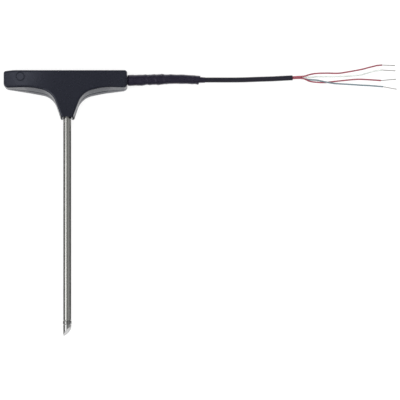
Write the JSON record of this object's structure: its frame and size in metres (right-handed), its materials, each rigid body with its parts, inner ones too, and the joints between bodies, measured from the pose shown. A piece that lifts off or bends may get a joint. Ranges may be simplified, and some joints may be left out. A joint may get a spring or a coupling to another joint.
{
  "type": "t-handle insertion probe",
  "caption": "Penetration probe: a flat dark T-shaped grip on a slender steel tube with a slanted tip, and a sleeved side-exit lead that ends in bare coloured cores.",
  "frame": {"origin": "middle of the footprint of handle and probe, on the surface they lie on, without the cable", "axes": "+Y from the probe's tip to the handle's top, +X along the handle to the cable, +Z out of the front face"},
  "size_m": [0.2522, 0.1744, 0.015],
  "materials": {
    "handle_plastic": "fine-textured moulded plastic, navy black",
    "silicone": "matt silicone rubber",
    "screw_steel": "plain stainless screw",
    "stainless_steel": "ground and polished stainless tube",
    "dark_ring": "darker ring between tube and tip",
    "ceramic": "fired alumina",
    "potting": "cured potting compound",
    "lead_insulation": "thin insulation",
    "splice_sleeve": "shrunk insulating sleeve",
    "clamp_brass": "turned brass",
    "heat_shrink": "shrunk sleeving, slightly lumpy",
    "cable_jacket": "dark round cable jacket",
    "core_red": "red core insulation",
    "core_white": "white core insulation",
    "core_blue": "pale blue core insulation",
    "tinned_copper": "tinned copper strands"
  },
  "bodies": {
    "root": {"front_shell": "handle_plastic", "rear_shell": "handle_plastic", "seal_strip_long": "silicone", "seal_strip_short": "silicone", "case_screw_1": "screw_steel", "case_screw_2": "screw_steel", "case_screw_3": "screw_steel", "tube_seal": "silicone", "tube_anchor": "stainless_steel", "probe_tube": "stainless_steel", "tip_ring": "dark_ring", "probe_tip": "stainless_steel", "sensing_element": "ceramic", "tip_potting": "potting", "lead_insulator": "ceramic", "sensor_lead_1": "lead_insulation", "sensor_lead_2": "lead_insulation", "sensor_lead_3": "lead_insulation", "sensor_lead_4": "lead_insulation", "splice_sleeve_red_1": "splice_sleeve", "splice_sleeve_white": "splice_sleeve", "splice_sleeve_red_2": "splice_sleeve", "splice_sleeve_blue": "splice_sleeve", "handle_core_red_1": "core_red", "handle_core_white": "core_white", "handle_core_red_2": "core_red", "handle_core_blue": "core_blue", "cable_clamp": "clamp_brass", "cable_boot": "heat_shrink", "lead_sleeve": "heat_shrink", "cable_jacket": "cable_jacket", "core_red_1": "core_red", "core_white": "core_white", "core_red_2": "core_red", "core_blue": "core_blue", "strands_red_1": "tinned_copper", "strands_white": "tinned_copper", "strands_red_2": "tinned_copper", "strands_blue": "tinned_copper"}
  },
  "joints": []
}
